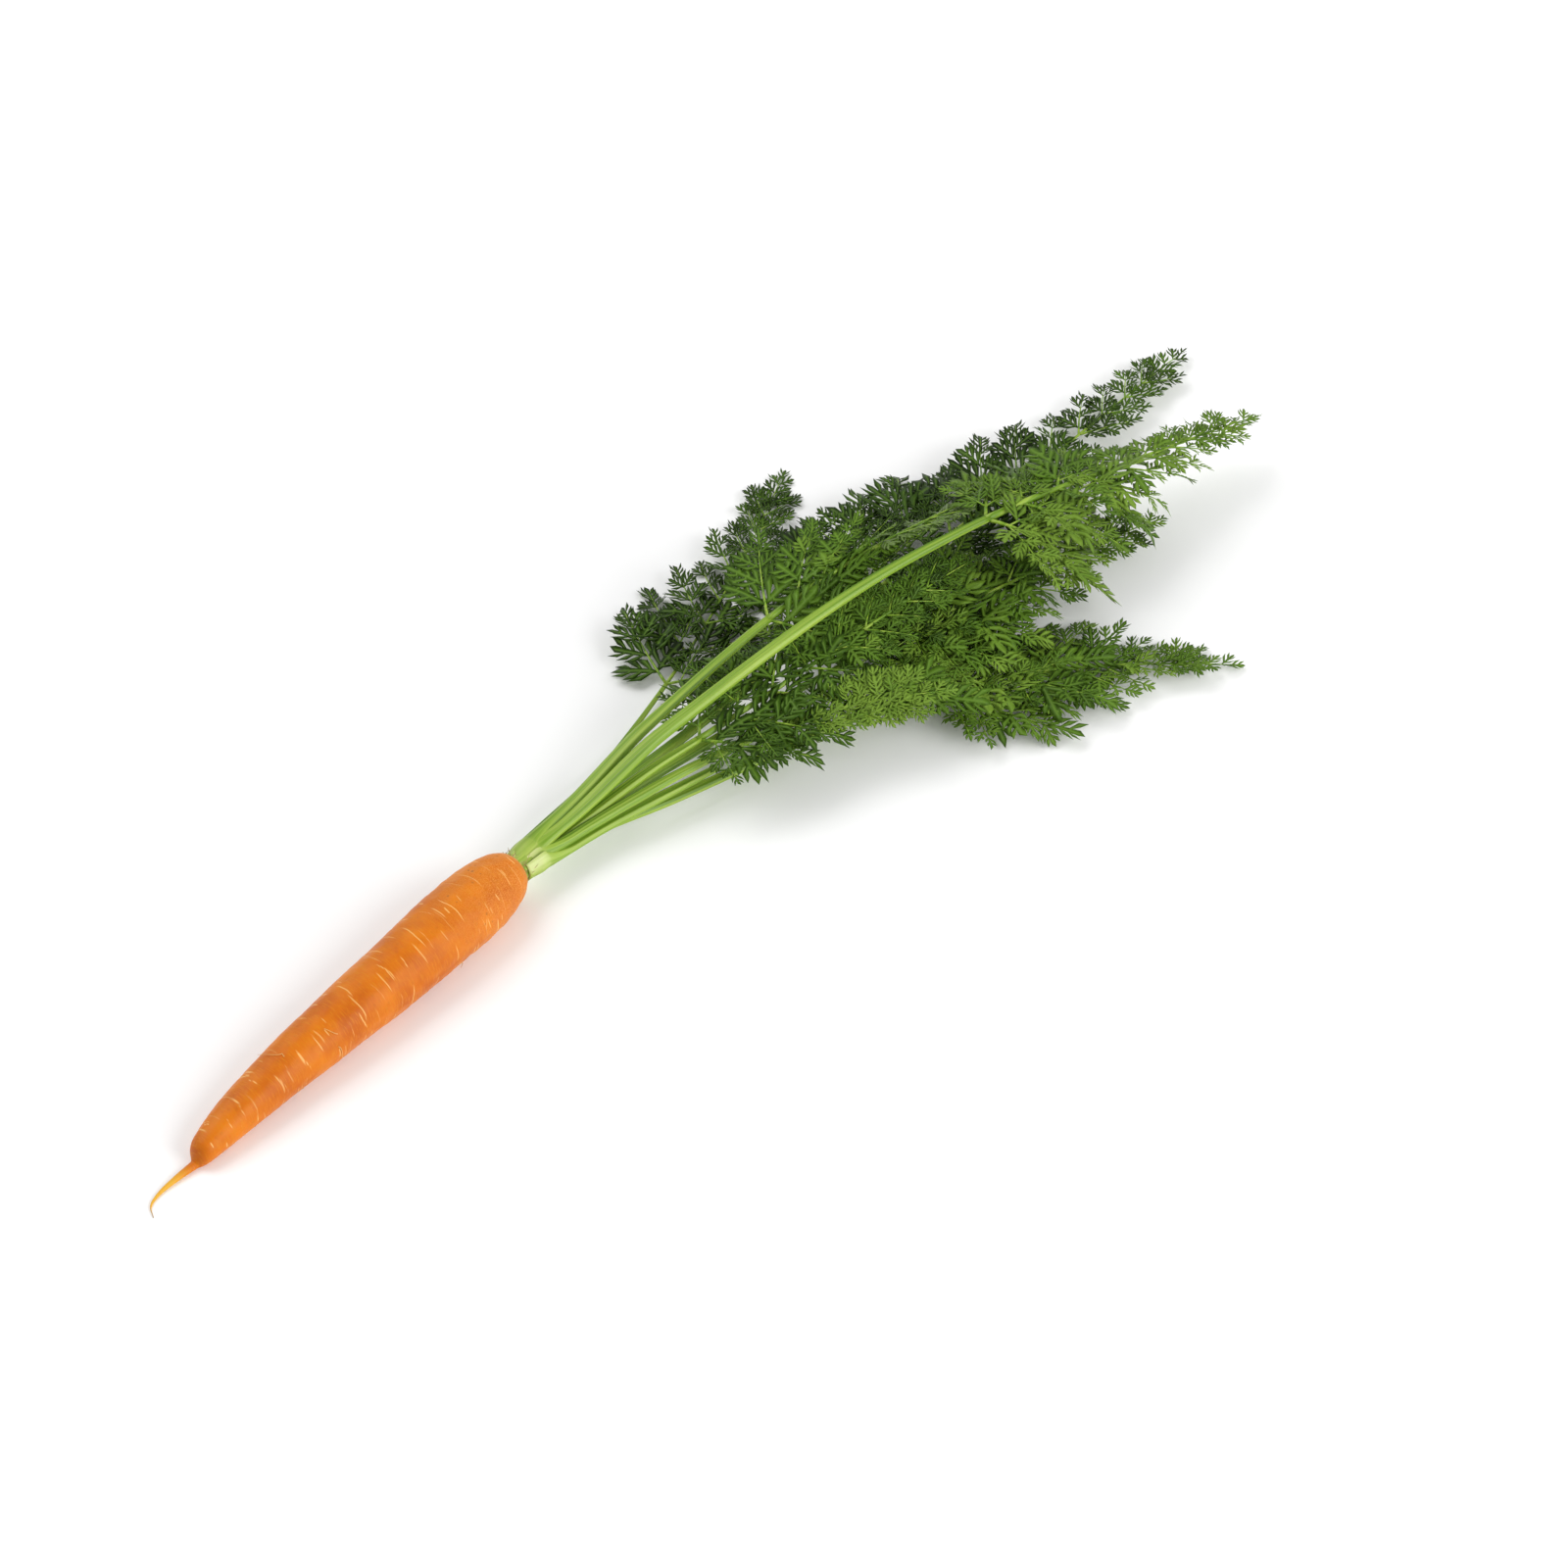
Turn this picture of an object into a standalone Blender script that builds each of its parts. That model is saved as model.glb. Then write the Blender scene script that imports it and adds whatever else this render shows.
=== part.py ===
"""One carrot with its leafy top, lying on a flat surface as it was pulled. Metres, +Z up.

The root lies along X with its tip towards -X, and the greens fan out towards +X. Each leaf is one
stalk that leaves the crown and one blade of side leaves beyond it. The ninth leaf is snapped off,
so it has only a stalk. The blades lie over each other in layers, like the pages of a fan: a blade's
height follows from its layer and its distance from the crown alone, so no two of them cross.
"""

import math
from collections import namedtuple

import bmesh
import bpy
from mathutils import Vector

MM = 0.001
GAP = 0.3 * MM  # between pieces that meet

# The root
ROOT_LENGTH = 187 * MM  # from the foot of the tail to the crown
ROOT_RADIUS = 14.5 * MM  # at the widest place
ROOT_SWAY = 1.6 * MM  # how far the axis wanders sideways
# (share of the length from the tip, share of the widest radius)
ROOT_OUTLINE = (
    (0.0, 0.125),
    (0.012, 0.30),
    (0.03, 0.39),
    (0.10, 0.52),
    (0.20, 0.64),
    (0.31, 0.74),
    (0.42, 0.82),
    (0.53, 0.885),
    (0.64, 0.935),
    (0.75, 0.985),
    (0.85, 1.0),
    (0.91, 0.935),
    (0.955, 0.80),
    (0.985, 0.60),
    (1.0, 0.36),
)
ROOT_RINGS = 28
ROOT_ROUNDNESS = 6  # bevel resolution of its section
# The tail, from the root's tip: (x, y, radius)
TAIL_ROUTE = (
    (0.0, 0.0, 1.8 * MM),
    (-9.5 * MM, 1.0 * MM, 1.25 * MM),
    (-18.5 * MM, 1.2 * MM, 0.75 * MM),
    (-25.0 * MM, -0.5 * MM, 0.45 * MM),
    (-28.5 * MM, -5.0 * MM, 0.3 * MM),
)
TAIL_RINGS = 12

# The crown, a short green neck that the stalks leave from
CROWN_LENGTH = 9 * MM
CROWN_FOOT_RADIUS = 4.9 * MM
CROWN_TOP_RADIUS = 6.9 * MM
CROWN_WIDENING = 1.2  # its section is wider than it is high
CROWN_HEIGHT = ROOT_RADIUS  # of its axis above the surface

# The leaves. base is where the stalk leaves the crown's end face, (left, up) from its middle.
# heading and last_heading are the leaf's directions on the surface, in degrees left of +X, along
# the stalk and at the blade's tip. layer is 0 for a leaf on the surface and 1 for the top one.
# stalk and length are the bare stalk's and the whole leaf's. pairs and side are the number of
# side leaves on each side and the length of the longest. radius is the stalk's.
Leaf = namedtuple(
    "Leaf", "name base heading last_heading layer stalk length pairs side radius"
)
LEAVES = (
    Leaf("1", (6.2, -0.3), 12, 22, 0.00, 120, 250, 5, 44, 1.3),
    Leaf("2", (3.0, 3.6), -4, -12, 0.90, 142, 250, 5, 46, 2.4),
    Leaf("3", (-1.0, 3.5), -10, -14, 1.00, 245, 385, 6, 58, 2.6),
    Leaf("4", (3.0, -0.4), -4, 0, 0.22, 180, 410, 7, 66, 2.3),
    Leaf("5", (-0.9, -0.5), -15, -6, 0.68, 84, 225, 6, 46, 2.3),
    Leaf("6", (1.2, -4.1), -13, -16, 0.36, 150, 320, 6, 62, 2.1),
    Leaf("7", (-4.7, 1.0), -18, -40, 0.54, 105, 178, 6, 18, 2.2),
    Leaf("8", (-3.0, -3.9), -18, -50, 0.08, 192, 310, 5, 54, 2.1),
    Leaf("9", (-6.6, -2.2), -16, -16, 0.30, 86, 86, 0, 0, 2.3),
)
STALK_FOOT_RADIUS = 1.75 * MM
FAN_START = 0.4  # share of its heading that a stalk has as it leaves the crown
FAN_LENGTH = 55 * MM  # over which it turns to its whole heading
TURN_START = 0.6  # share of the stalk beyond which it turns towards its last heading
STALK_RINGS = 14
STALK_ROUNDNESS = 2
STALK_END_SHARE = 0.62  # its end radius over its thickest radius
# Heights above the surface of the lowest and the highest layer: (distance from the crown, height)
LOW_LAYER = ((0, 9), (75, 3.8), (150, 3.0), (230, 0.9), (300, 0.5), (450, 0.5))
HIGH_LAYER = ((0, 20), (80, 37), (170, 50), (250, 47), (330, 34), (450, 15))
SETTLING = 70 * MM  # distance over which a stalk leaves its place on the crown for its layer

# The blades
BLADE_THICKNESS = 0.9 * MM
MIDRIB_HALF_WIDTH = 1.5 * MM
SIDE_FOOT_WIDTH = 3.0 * MM
SIDE_ANGLE = 52  # degrees from the midrib, at the foot of the blade
TIP_ANGLE = 38  # and at its tip
# (share of a side leaf's length, half its width over its length)
SIDE_OUTLINE = ((0.28, 0.135), (0.58, 0.135), (0.84, 0.08), (1.0, 0.018))

# Colours as (red, green, blue), roughness
ORANGE = (0.79, 0.20, 0.006), 0.42
CROWN_GREEN = (0.42, 0.52, 0.11), 0.5
STALK_GREEN = (0.30, 0.47, 0.05), 0.45
LEAF_GREEN = (0.05, 0.15, 0.02), 0.55


def smoothstep(t):
    t = min(max(t, 0.0), 1.0)
    return t * t * (3 - 2 * t)


def read_table(table, at):
    """The smooth curve through a table of (place, value), read at one place."""
    last = len(table) - 1
    at = min(max(at, table[0][0]), table[last][0])
    k = next(i for i in range(last) if at <= table[i + 1][0])

    def slope(i):
        low, high = max(i - 1, 0), min(i + 1, last)
        return (table[high][1] - table[low][1]) / (table[high][0] - table[low][0])

    (x0, y0), (x1, y1) = table[k], table[k + 1]
    width = x1 - x0
    t = (at - x0) / width
    from_start = (1 + 2 * t) * (1 - t) ** 2 * y0 + t * (1 - t) ** 2 * width * slope(k)
    from_end = t * t * (3 - 2 * t) * y1 - t * t * (1 - t) * width * slope(k + 1)
    return from_start + from_end


def material(name, finish):
    colour, roughness = finish
    made = bpy.data.materials.new(name)
    made.use_nodes = True
    made.diffuse_color = (*colour, 1.0)
    shader = made.node_tree.nodes["Principled BSDF"]
    shader.inputs["Base Color"].default_value = (*colour, 1.0)
    shader.inputs["Roughness"].default_value = roughness
    shader.inputs["Metallic"].default_value = 0.0
    return made


def add(name, data, finish):
    """A new object of the carrot, which rides on its parent empty."""
    made = bpy.data.objects.new(name, data)
    data.materials.append(finish)
    parts.objects.link(made)
    made.parent = carrot
    return made


def tube(name, points, radii, roundness, finish):
    """A round tube through the points, as thick at each as its radius says."""
    curve = bpy.data.curves.new(name, "CURVE")
    curve.dimensions = "3D"
    curve.bevel_depth = max(radii)
    curve.bevel_resolution = roundness
    curve.use_fill_caps = True
    spline = curve.splines.new("POLY")
    spline.points.add(len(points) - 1)
    for knot, point, radius in zip(spline.points, points, radii):
        knot.co = (*point, 1.0)
        knot.radius = radius / curve.bevel_depth
    return add(name, curve, finish)


# The root


def root_station(share):
    """The middle and the radius of the root at this share of its length from the tip.

    It lies on its underside, so up to its widest place the axis is one radius above the surface.
    """
    radius = ROOT_RADIUS * read_table(ROOT_OUTLINE, share)
    widest = max(ROOT_OUTLINE, key=lambda point: point[1])[0]
    height = radius if share < widest else ROOT_RADIUS
    back = CROWN_LENGTH + GAP + ROOT_LENGTH * (1 - share)
    sway = ROOT_SWAY * math.sin(2 * math.pi * share) * (1 - share)
    return Vector((-back, sway, height)), radius


def tail_station(share):
    """The middle and the radius of the tail, from its end at 0 to the root's tip at 1."""
    steps = len(TAIL_ROUTE) - 1
    along = steps * (1 - share)
    x, y, radius = (
        read_table([(k, point[axis]) for k, point in enumerate(TAIL_ROUTE)], along)
        for axis in range(3)
    )
    tip = root_station(0.0)[0]
    return Vector((tip.x + x, tip.y + y, radius)), radius


def make_root():
    tail = [tail_station(k / TAIL_RINGS) for k in range(TAIL_RINGS)]
    # The rings crowd towards the shoulder, which is the most curved stretch.
    shares = [math.sin(math.pi / 2 * k / ROOT_RINGS) for k in range(ROOT_RINGS + 1)]
    stations = tail + [root_station(share) for share in shares]
    points, radii = zip(*stations)
    tube("root", points, radii, ROOT_ROUNDNESS, material("root", ORANGE))


def make_crown():
    shape = bmesh.new()
    bmesh.ops.create_cone(
        shape,
        cap_ends=True,
        segments=24,
        radius1=CROWN_FOOT_RADIUS,
        radius2=CROWN_TOP_RADIUS,
        depth=CROWN_LENGTH,
    )
    bmesh.ops.scale(shape, vec=(1, CROWN_WIDENING, 1), verts=shape.verts)
    mesh = bpy.data.meshes.new("crown")
    shape.to_mesh(mesh)
    shape.free()
    crown = add("crown", mesh, material("crown", CROWN_GREEN))
    crown.location = (-CROWN_LENGTH / 2, 0, CROWN_HEIGHT)
    crown.rotation_euler = (0, math.pi / 2, 0)


# The leaves


class LeafLine:
    """The line of one leaf's stalk and midrib, and the layer that its blade lies in."""

    STEP = 1 * MM

    def __init__(self, leaf):
        self.layer = leaf.layer
        self.foot = Vector((GAP, leaf.base[0] * MM, CROWN_HEIGHT + leaf.base[1] * MM))
        self.stalk = leaf.stalk * MM
        self.length = leaf.length * MM
        self.turns = (leaf.heading, leaf.last_heading)
        steps = math.ceil(self.length / self.STEP) + 1
        place = self.foot.to_2d()
        self.places = [place]
        for k in range(steps):
            heading = self.heading(k * self.STEP)
            forward = Vector((math.cos(heading), math.sin(heading)))
            place = place + forward * self.STEP
            self.places.append(place)

    def heading(self, along):
        """The direction on the surface, in radians, at this distance from the crown."""
        heading, last = self.turns
        fanned = FAN_START + (1 - FAN_START) * smoothstep(along / FAN_LENGTH)
        start = self.stalk * TURN_START
        turned = smoothstep((along - start) / (self.length - start))
        return math.radians(heading * fanned + (last - heading) * turned)

    def point(self, along, aside=0.0):
        """The point this far along the leaf and this far to the left of its line."""
        k = min(int(along / self.STEP), len(self.places) - 2)
        share = along / self.STEP - k
        heading = self.heading(along)
        left = Vector((-math.sin(heading), math.cos(heading)))
        flat = self.places[k].lerp(self.places[k + 1], share) + left * aside
        away = flat.length
        low = read_table(LOW_LAYER, away / MM) * MM
        high = read_table(HIGH_LAYER, away / MM) * MM
        lying = low + (high - low) * self.layer
        height = self.foot.z + (lying - self.foot.z) * smoothstep(away / SETTLING)
        return Vector((flat.x, flat.y, height))


def make_stalk(leaf, line, finish):
    points, radii = [], []
    for k in range(STALK_RINGS + 1):
        share = k / STALK_RINGS
        swelling = smoothstep(share * line.stalk / FAN_LENGTH)
        thick = leaf.radius * MM
        radius = STALK_FOOT_RADIUS + (thick - STALK_FOOT_RADIUS) * swelling
        points.append(line.point(share * line.stalk))
        radii.append(min(radius, thick) * (1 - (1 - STALK_END_SHARE) * share**2))
    tube(f"stalk_{leaf.name}", points, radii, STALK_ROUNDNESS, finish)


def push(shape, pair, places):
    """Extrudes the edge between a pair of vertices to two new places, and returns the new pair."""
    edge = shape.edges.get(pair)
    made = bmesh.ops.extrude_edge_only(shape, edges=[edge])["geom"]
    fresh = [item for item in made if isinstance(item, bmesh.types.BMVert)]
    moved = []
    for old, place in zip(pair, places):
        new = next(v for v in fresh if shape.edges.get((v, old)))
        new.co = (*place, 0.0)
        moved.append(new)
    return tuple(moved)


def side_leaf(shape, pair, foot, direction, length):
    """Draws one side leaf out of the midrib's edge, in the flat."""
    forward = Vector((math.cos(direction), math.sin(direction)))
    left = Vector((-forward.y, forward.x))
    # The pair runs towards the tip, so on the left side its first vertex is on the left of forward.
    side = 1 if direction > 0 else -1
    for share, half_width in SIDE_OUTLINE:
        middle = foot + forward * share * length
        spread = left * half_width * length * side
        pair = push(shape, pair, (middle + spread, middle - spread))


def make_blade(leaf, line, finish):
    """A flat outline of midrib and side leaves, laid along the leaf's line and given a thickness."""
    shape = bmesh.new()
    start = line.stalk + GAP + BLADE_THICKNESS / 2
    blade = line.length - start
    pair = tuple(
        shape.verts.new((start, side * MIDRIB_HALF_WIDTH, 0)) for side in (1, -1)
    )
    shape.edges.new(pair)
    for k in range(leaf.pairs):
        share = 1 - (1 - k / leaf.pairs) ** 1.2
        along = start + blade * share + MIDRIB_HALF_WIDTH
        before = push(
            shape, pair, [(along, MIDRIB_HALF_WIDTH), (along, -MIDRIB_HALF_WIDTH)]
        )
        along += SIDE_FOOT_WIDTH
        pair = push(
            shape, before, [(along, MIDRIB_HALF_WIDTH), (along, -MIDRIB_HALF_WIDTH)]
        )
        angle = math.radians(SIDE_ANGLE + (TIP_ANGLE - SIDE_ANGLE) * share)
        length = leaf.side * MM * (1 - share) ** 0.75
        for i, side in enumerate((1, -1)):
            foot = Vector((along - SIDE_FOOT_WIDTH / 2, side * MIDRIB_HALF_WIDTH))
            side_leaf(shape, (before[i], pair[i]), foot, side * angle, length)
    # The last leaf runs on from the midrib.
    rest = line.length - along
    for share, half_width in SIDE_OUTLINE:
        half_width = half_width * rest * 1.5
        pair = push(
            shape,
            pair,
            [(along + share * rest, half_width), (along + share * rest, -half_width)],
        )
    for vertex in shape.verts:
        vertex.co = line.point(vertex.co.x, vertex.co.y)
    bmesh.ops.recalc_face_normals(shape, faces=shape.faces)
    mesh = bpy.data.meshes.new(f"blade_{leaf.name}")
    shape.to_mesh(mesh)
    shape.free()
    made = add(mesh.name, mesh, finish)
    thicken = made.modifiers.new("thickness", "SOLIDIFY")
    thicken.thickness = BLADE_THICKNESS
    thicken.offset = 0.0


def make_leaves():
    stalk_finish = material("stalk", STALK_GREEN)
    blade_finish = material("blade", LEAF_GREEN)
    for leaf in LEAVES:
        line = LeafLine(leaf)
        make_stalk(leaf, line, stalk_finish)
        if leaf.pairs:
            make_blade(leaf, line, blade_finish)


def centre_on_origin():
    """Puts the origin under the middle of the carrot's box, at the surface that it lies on."""
    bpy.context.view_layer.update()
    graph = bpy.context.evaluated_depsgraph_get()
    corners = []
    for made in carrot.children:
        evaluated = made.evaluated_get(graph)
        mesh = evaluated.to_mesh()
        corners += [evaluated.matrix_world @ v.co for v in mesh.vertices]
        evaluated.to_mesh_clear()
    low = Vector(min(point[axis] for point in corners) for axis in range(3))
    high = Vector(max(point[axis] for point in corners) for axis in range(3))
    carrot.location = (-(low.x + high.x) / 2, -(low.y + high.y) / 2, -low.z)


for old in list(bpy.data.objects):
    bpy.data.objects.remove(old)
parts = bpy.data.collections.new("carrot")
bpy.context.scene.collection.children.link(parts)
carrot = bpy.data.objects.new("carrot", None)
parts.objects.link(carrot)
make_root()
make_crown()
make_leaves()
centre_on_origin()
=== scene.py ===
# %% [markdown]
# # A carrot with its leafy top
# The frame holds the carrot at its real size: one root, one crown, nine stalks and eight blades.
# Here each of them gets the surface of the living thing: waxy skin with pale cross lines, ribbed
# stalks that grow out of a wrapped crown, and leaves that are cut into hundreds of small lobes.
# The whole carrot rides on one body, because nothing in it moves against the rest.

# %% Load the frame
import math
import random
from collections import namedtuple

import bmesh
import bpy
import numpy as np
from mathutils import Matrix, Quaternion, Vector, noise


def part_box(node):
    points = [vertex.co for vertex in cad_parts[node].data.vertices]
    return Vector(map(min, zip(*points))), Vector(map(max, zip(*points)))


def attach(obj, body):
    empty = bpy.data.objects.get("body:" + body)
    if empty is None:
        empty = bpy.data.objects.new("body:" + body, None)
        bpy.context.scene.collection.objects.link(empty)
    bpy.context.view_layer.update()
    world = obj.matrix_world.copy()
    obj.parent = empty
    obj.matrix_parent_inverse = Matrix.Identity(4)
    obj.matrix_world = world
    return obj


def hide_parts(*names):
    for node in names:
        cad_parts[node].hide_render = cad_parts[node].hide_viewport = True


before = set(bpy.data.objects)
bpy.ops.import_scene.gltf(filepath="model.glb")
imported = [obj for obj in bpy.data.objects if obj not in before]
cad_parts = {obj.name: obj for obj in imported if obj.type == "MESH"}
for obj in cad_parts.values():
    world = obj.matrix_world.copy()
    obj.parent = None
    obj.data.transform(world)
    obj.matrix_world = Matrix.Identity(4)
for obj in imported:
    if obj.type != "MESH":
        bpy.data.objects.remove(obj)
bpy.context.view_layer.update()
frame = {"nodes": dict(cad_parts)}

MM = 0.001

# %% [markdown]
# ## Where things are
# Two places are read from the frame, and everything else is measured from them: the middle of the
# crown's far end, where the stalks leave, and the middle of its near end, where the root begins.
# The carrot lies along X, with its leaves towards +X, on the plane z = 0.

# %% The crown's two ends
CROWN_LOW, CROWN_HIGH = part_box("crown")
ROOT_LOW, ROOT_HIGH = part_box("root")
CROWN_END = Vector((CROWN_HIGH.x, (CROWN_LOW.y + CROWN_HIGH.y) / 2, 0))
AXIS_HEIGHT = (CROWN_LOW.z + CROWN_HIGH.z) / 2
UP = Vector((0, 0, 1))
print("the stalks leave at", [round(v / MM, 1) for v in CROWN_END], "mm, axis at", round(AXIS_HEIGHT / MM, 1))

# %% [markdown]
# ## Small tools
# A living thing is full of gradual changes, so a few helpers come back all the time: a soft step, a
# smooth curve read from a short table, and the functions that turn a bmesh into a finished piece.
# Every finished piece keeps its place in its mesh and rides on the body named root.


# %% Soft steps and smooth tables
def smoothstep(t):
    t = min(max(t, 0.0), 1.0)
    return t * t * (3 - 2 * t)


def read_table(table, at):
    """The smooth curve through a table of (place, value), read at one place."""
    last = len(table) - 1
    at = min(max(at, table[0][0]), table[last][0])
    k = next(i for i in range(last) if at <= table[i + 1][0])

    def slope(i):
        low, high = max(i - 1, 0), min(i + 1, last)
        return (table[high][1] - table[low][1]) / (table[high][0] - table[low][0])

    (x0, y0), (x1, y1) = table[k], table[k + 1]
    width = x1 - x0
    t = (at - x0) / width
    from_start = (1 + 2 * t) * (1 - t) ** 2 * y0 + t * (1 - t) ** 2 * width * slope(k)
    from_end = t * t * (3 - 2 * t) * y1 - t * t * (1 - t) * width * slope(k + 1)
    return from_start + from_end


print("halfway up a soft step:", smoothstep(0.5))


# %% From a bmesh to a piece
def finish_mesh(shape, name):
    """Writes a bmesh to a mesh object that isn't attached to anything yet."""
    mesh = bpy.data.meshes.new(name)
    shape.to_mesh(mesh)
    shape.free()
    made = bpy.data.objects.new(name, mesh)
    bpy.context.scene.collection.objects.link(made)
    return made


def finish_round(shape, name):
    """The same for a closed round shape: its faces turn outwards and are shaded smooth."""
    bmesh.ops.recalc_face_normals(shape, faces=shape.faces)
    made = finish_mesh(shape, name)
    made.data.shade_smooth()
    return made


def finish_piece(made, material, slot, *nodes):
    """Gives an object its material and its place in the frame, and says what it took to make."""
    made.data.materials.append(material)
    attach(made, "root")
    if nodes:
        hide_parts(*nodes)
    triangles = sum(len(p.vertices) - 2 for p in made.data.polygons)
    print(f"{made.name}: {triangles} triangles")
    return made


def set_attribute(mesh, name, values, domain="POINT"):
    layer = mesh.attributes.new(name, "FLOAT", domain)
    layer.data.foreach_set("value", np.asarray(values, np.float32))


def set_stalk_marks(mesh, pale, rib, flow):
    """Keeps how pale each vertex is, whether it is on a rib, and where it lies on a straightened stalk."""
    set_attribute(mesh, "pale", pale)
    set_attribute(mesh, "rib", rib)
    layer = mesh.attributes.new("flow", "FLOAT_VECTOR", "POINT")
    layer.data.foreach_set("vector", np.asarray(flow, np.float32).ravel())


# %% Growing a row of vertices
def grow(shape, row, places, closed=False):
    """Extrudes the edges along a row of vertices to new places, and returns the new row."""
    pairs = list(zip(row, row[1:])) + ([(row[-1], row[0])] if closed else [])
    edges = [shape.edges.get(pair) for pair in pairs]
    made = bmesh.ops.extrude_edge_only(shape, edges=edges)["geom"]
    fresh = [item for item in made if isinstance(item, bmesh.types.BMVert)]
    new_row = [min(fresh, key=lambda v: (v.co - old.co).length_squared) for old in row]
    for vertex, place in zip(new_row, places):
        vertex.co = place
    return new_row


def start_row(shape, ring):
    """A capped ring of vertices at the given places, to grow from."""
    row = bmesh.ops.create_circle(shape, cap_ends=True, segments=len(ring), radius=1)["verts"]
    for vertex, place in zip(row, ring):
        vertex.co = place
    return row


def circle_angles(sides):
    return [2 * math.pi * k / sides for k in range(sides)]


# %% [markdown]
# ## The camera, the floor and the light
# The camera looks down on the carrot from 45 degrees, from the side where its leaves spread, through a
# long lens, which keeps the far leaves nearly as large as the near root. It is placed by where the
# crown should fall in the picture. The floor is pale and plain, and the light is that of a white
# studio: bright from all round, with one large soft lamp that draws the long shine on the root.

# %% Camera
LENS_MM = 135
SENSOR_MM = 36
ELEVATION = math.radians(45)
AZIMUTH = math.radians(39)  # of the way it looks, left of +X
DISTANCE = 2.335  # from the root's shoulder
SHOULDER_IN_PICTURE = (-0.171, -0.053)  # of the picture's width, from its middle, right and up

looks = Vector((
    math.cos(ELEVATION) * math.cos(AZIMUTH),
    math.cos(ELEVATION) * math.sin(AZIMUTH),
    -math.sin(ELEVATION),
))
to_right = looks.cross(UP).normalized()
to_top = to_right.cross(looks)
shoulder = Vector((CROWN_LOW.x, CROWN_END.y, AXIS_HEIGHT))
picture_width = DISTANCE * SENSOR_MM / LENS_MM
right, up = (share * picture_width for share in SHOULDER_IN_PICTURE)
camera = bpy.data.objects.new("camera", bpy.data.cameras.new("camera"))
camera.data.lens = LENS_MM
camera.data.sensor_width = SENSOR_MM
camera.data.clip_end = 20
camera.location = shoulder - looks * DISTANCE - to_right * right - to_top * up
camera.rotation_euler = looks.to_track_quat("-Z", "Y").to_euler()
bpy.context.scene.collection.objects.link(camera)
bpy.context.scene.camera = camera
print("the picture is", round(picture_width, 3), "m wide at the crown")


# %% Floor
def new_material(name):
    material = bpy.data.materials.new(name)
    material.use_nodes = True
    return material, material.node_tree, material.node_tree.nodes["Principled BSDF"]


def set_values(node, values):
    for name, value in values.items():
        node.inputs[name].default_value = value


shape = bmesh.new()
bmesh.ops.create_grid(shape, x_segments=1, y_segments=1, size=6)
floor = finish_mesh(shape, "floor")
floor.location.z = -0.05 * MM
floor_finish, tree, shader = new_material("studio floor")
set_values(shader, {"Base Color": (0.97, 0.97, 0.97, 1), "Roughness": 0.9})
floor.data.materials.append(floor_finish)
print("floor laid")


# %% Light
def add_lamp(name, place, size, power):
    """A soft square lamp that hangs at a place and faces the carrot."""
    lamp = bpy.data.objects.new(name, bpy.data.lights.new(name, "AREA"))
    lamp.data.size = size
    lamp.data.energy = power
    lamp.location = place
    lamp.rotation_euler = (CROWN_END - lamp.location).to_track_quat("-Z", "Y").to_euler()
    bpy.context.scene.collection.objects.link(lamp)


world = bpy.data.worlds.new("studio")
world.use_nodes = True
set_values(world.node_tree.nodes["Background"], {"Color": (1.0, 1.0, 1.0, 1), "Strength": 0.50})
bpy.context.scene.world = world
add_lamp("key", (0.3, -2.0, 1.05), 1.8, 46)
add_lamp("top", (-0.3, 1.3, 1.7), 1.8, 26)
bpy.context.scene.view_settings.view_transform = "Standard"
print("two lamps and a white surround")

# %% [markdown]
# ## Effects that several materials share
# Skin, stalk and leaf all have a little uneven colour and a fine grain that breaks up the shine. Both
# come from noise, so they are made once as a node group. The stretch input pulls the pattern out
# along or across the carrot: its skin is marked across, and its stalks are marked along.


# %% A group for uneven colour and grain
def make_growth_group():
    group = bpy.data.node_groups.new("growth marks", "ShaderNodeTree")
    face, nodes, links = group.interface, group.nodes, group.links
    face.new_socket("Place", in_out="INPUT", socket_type="NodeSocketVector")
    stretch = face.new_socket("Stretch", in_out="INPUT", socket_type="NodeSocketVector")
    stretch.default_value = (1, 1, 1)
    for name in ("Blotches", "Streaks", "Grain"):
        face.new_socket(name, in_out="OUTPUT", socket_type="NodeSocketFloat")
    source = nodes.new("NodeGroupInput")
    result = nodes.new("NodeGroupOutput")
    place = source.outputs["Place"]
    pulled = nodes.new("ShaderNodeVectorMath")
    pulled.operation = "MULTIPLY"
    links.new(place, pulled.inputs[0])
    links.new(source.outputs["Stretch"], pulled.inputs[1])
    for name, vector, scale, detail in (
        ("Blotches", place, 55, 3), ("Streaks", pulled.outputs[0], 260, 4), ("Grain", place, 2600, 4),
    ):
        made = nodes.new("ShaderNodeTexNoise")
        made.inputs["Scale"].default_value = scale
        made.inputs["Detail"].default_value = detail
        links.new(vector, made.inputs["Vector"])
        links.new(made.outputs["Fac"], result.inputs[name])
    return group


GROWTH = make_growth_group()
print("shared group:", GROWTH.name)


# %% Marks and attributes in a material
def add_growth(tree, stretch, place=None):
    marks = tree.nodes.new("ShaderNodeGroup")
    marks.node_tree = GROWTH
    marks.inputs["Stretch"].default_value = stretch
    place = place or tree.nodes.new("ShaderNodeTexCoord").outputs["Object"]
    tree.links.new(place, marks.inputs["Place"])
    return marks.outputs


def add_attribute(tree, name, output="Fac"):
    reader = tree.nodes.new("ShaderNodeAttribute")
    reader.attribute_name = name
    return reader.outputs[output]


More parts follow.
